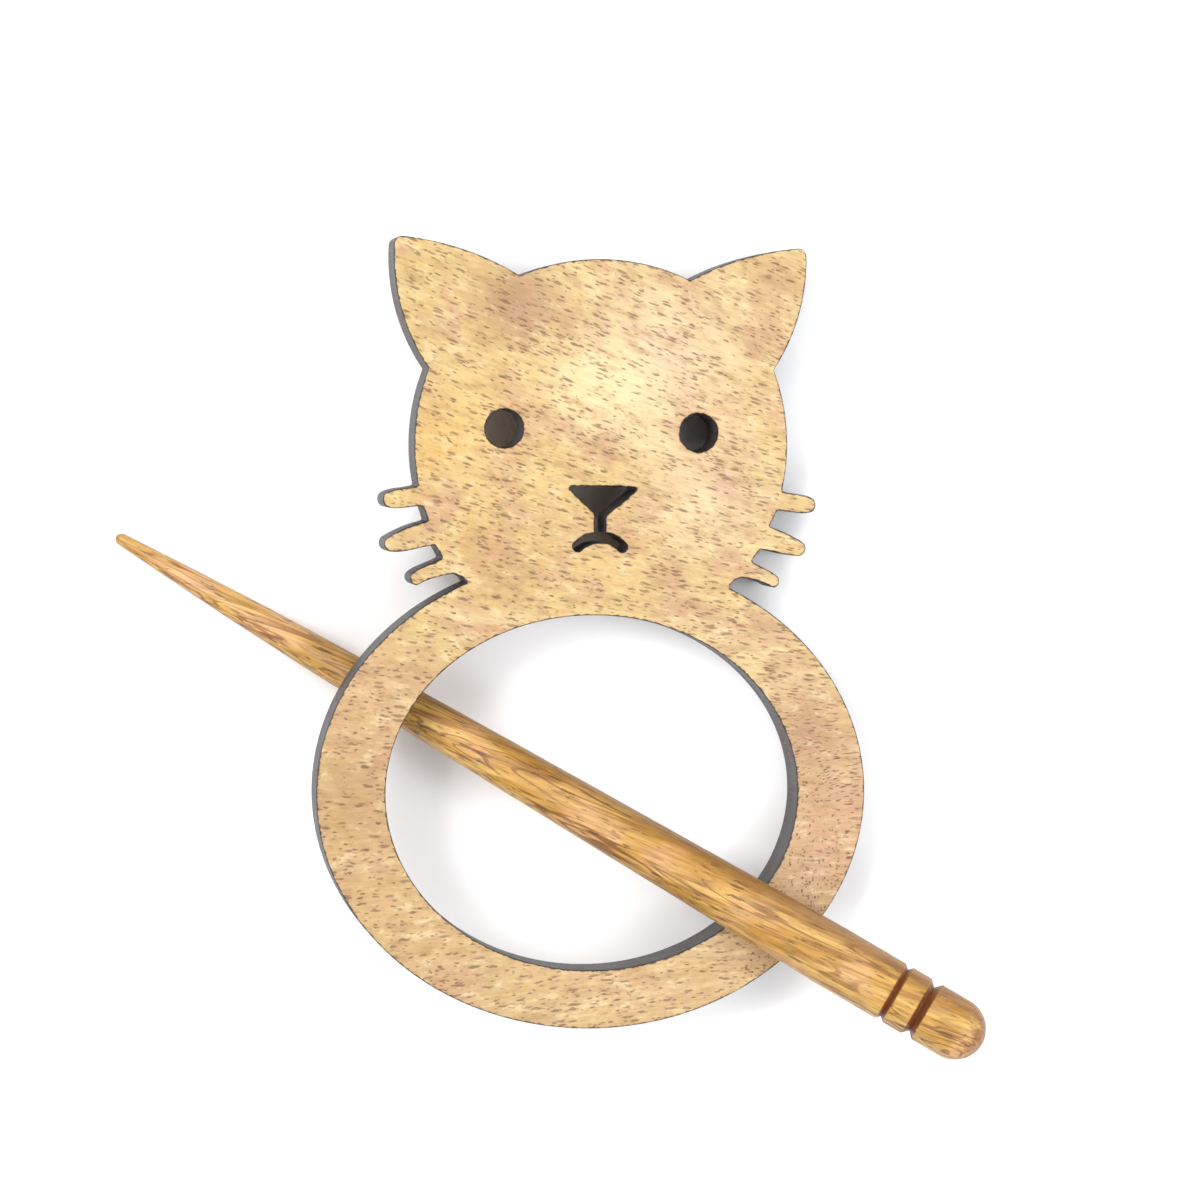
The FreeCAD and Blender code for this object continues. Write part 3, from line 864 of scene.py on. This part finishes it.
def makeTurningTree(material):
    # a polyline of points, with a radius each, becomes a closed round stick that is slightly uneven
    tree = bpy.data.node_groups.new("turnedStick", "GeometryNodeTree")
    tree.interface.new_socket("Geometry", in_out="INPUT", socket_type="NodeSocketGeometry")
    for label, kind in (("Sides", "Int"), ("Wobble", "Float"), ("Seed", "Float")):
        tree.interface.new_socket(label, in_out="INPUT", socket_type="NodeSocket" + kind)
    tree.interface.new_socket("Geometry", in_out="OUTPUT", socket_type="NodeSocketGeometry")
    entry = tree.nodes.new("NodeGroupInput").outputs
    curve = addNode(tree, "GeometryNodeMeshToCurve", {"Mesh": entry["Geometry"]}).outputs[0]
    named = {"Name": "turnRadius"}
    radius = addNode(tree, "GeometryNodeInputNamedAttribute", named, data_type="FLOAT").outputs[0]
    circle = addNode(tree, "GeometryNodeCurvePrimitiveCircle", {"Resolution": entry["Sides"], "Radius": 1.0})
    shape = {"Curve": curve, "Profile Curve": circle.outputs[0], "Scale": radius}
    turned = addNode(tree, "GeometryNodeCurveToMesh", shape).outputs[0]
    # the rings of radius 0 at both ends become one point each
    closed = addNode(tree, "GeometryNodeMergeByDistance", {"Geometry": turned, "Distance": 1e-6})
    position = tree.nodes.new("GeometryNodeInputPosition").outputs[0]
    noise = {"Vector": position, "W": entry["Seed"], "Scale": stickDetail["wobbleScale"], "Detail": 1.0}
    value = addNode(tree, "ShaderNodeTexNoise", noise, noise_dimensions="4D").outputs["Fac"]
    normal = tree.nodes.new("GeometryNodeInputNormal").outputs[0]
    push = doMath(tree, "MULTIPLY", doMath(tree, "SUBTRACT", value, 0.5), entry["Wobble"])
    offset = addNode(tree, "ShaderNodeVectorMath", {0: normal, "Scale": push}, operation="SCALE").outputs[0]
    uneven = addNode(tree, "GeometryNodeSetPosition", {"Geometry": closed.outputs[0], "Offset": offset})
    smooth = addNode(tree, "GeometryNodeSetShadeSmooth", {"Geometry": uneven.outputs[0]}).outputs[0]
    real = addNode(tree, "GeometryNodeRealizeInstances", {"Geometry": smooth}).outputs[0]
    painted = addNode(tree, "GeometryNodeSetMaterial", {"Geometry": real, "Material": material}).outputs[0]
    tree.links.new(painted, tree.nodes.new("NodeGroupOutput").inputs[0])
    return tree


def makeStick():
    along, radii = stickOutline()
    line = bpy.data.meshes.new("stickLine")
    pairs = [(index, index + 1) for index in range(len(along) - 1)]
    line.from_pydata([(x, 0, 0) for x in along], pairs, [])
    line.transform(stickMatrix @ Matrix.Scale(mm, 4))
    # how deep each point lies in a groove: under the widest place before it
    start, end = stickDetail["grooves"]
    hull = np.array(radii)
    thick = along > start
    hull[thick] = np.maximum.accumulate(radii[thick])
    depths = np.where(along < end, hull - radii, 0)
    for name, values in (("turnRadius", radii * mm), ("groove", depths)):
        line.attributes.new(name, "FLOAT", "POINT").data.foreach_set("value", values.astype(np.float32))
    guide = bpy.data.objects.new("stickLine", line)
    bpy.context.collection.objects.link(guide)
    modifier = guide.modifiers.new("turning", "NODES")
    modifier.node_group = makeTurningTree(makeGoldenWood())
    sizes = {"Sides": stickDetail["sides"], "Wobble": stickDetail["wobble"] * mm, "Seed": stickDetail["seed"]}
    for item in modifier.node_group.interface.items_tree:
        if item.name in sizes:
            modifier[item.identifier] = sizes[item.name]
    depsgraph = bpy.context.evaluated_depsgraph_get()
    turned = bpy.data.meshes.new_from_object(guide.evaluated_get(depsgraph))
    bpy.data.objects.remove(guide)
    piece = bpy.data.objects.new("turnedStick", turned)
    bpy.context.collection.objects.link(piece)
    turned.set_sharp_from_angle(angle=math.radians(stickDetail["sharpEdge"]))
    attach(piece, "pin_stick")
    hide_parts("stick")


makeStick()
print("stick turned")
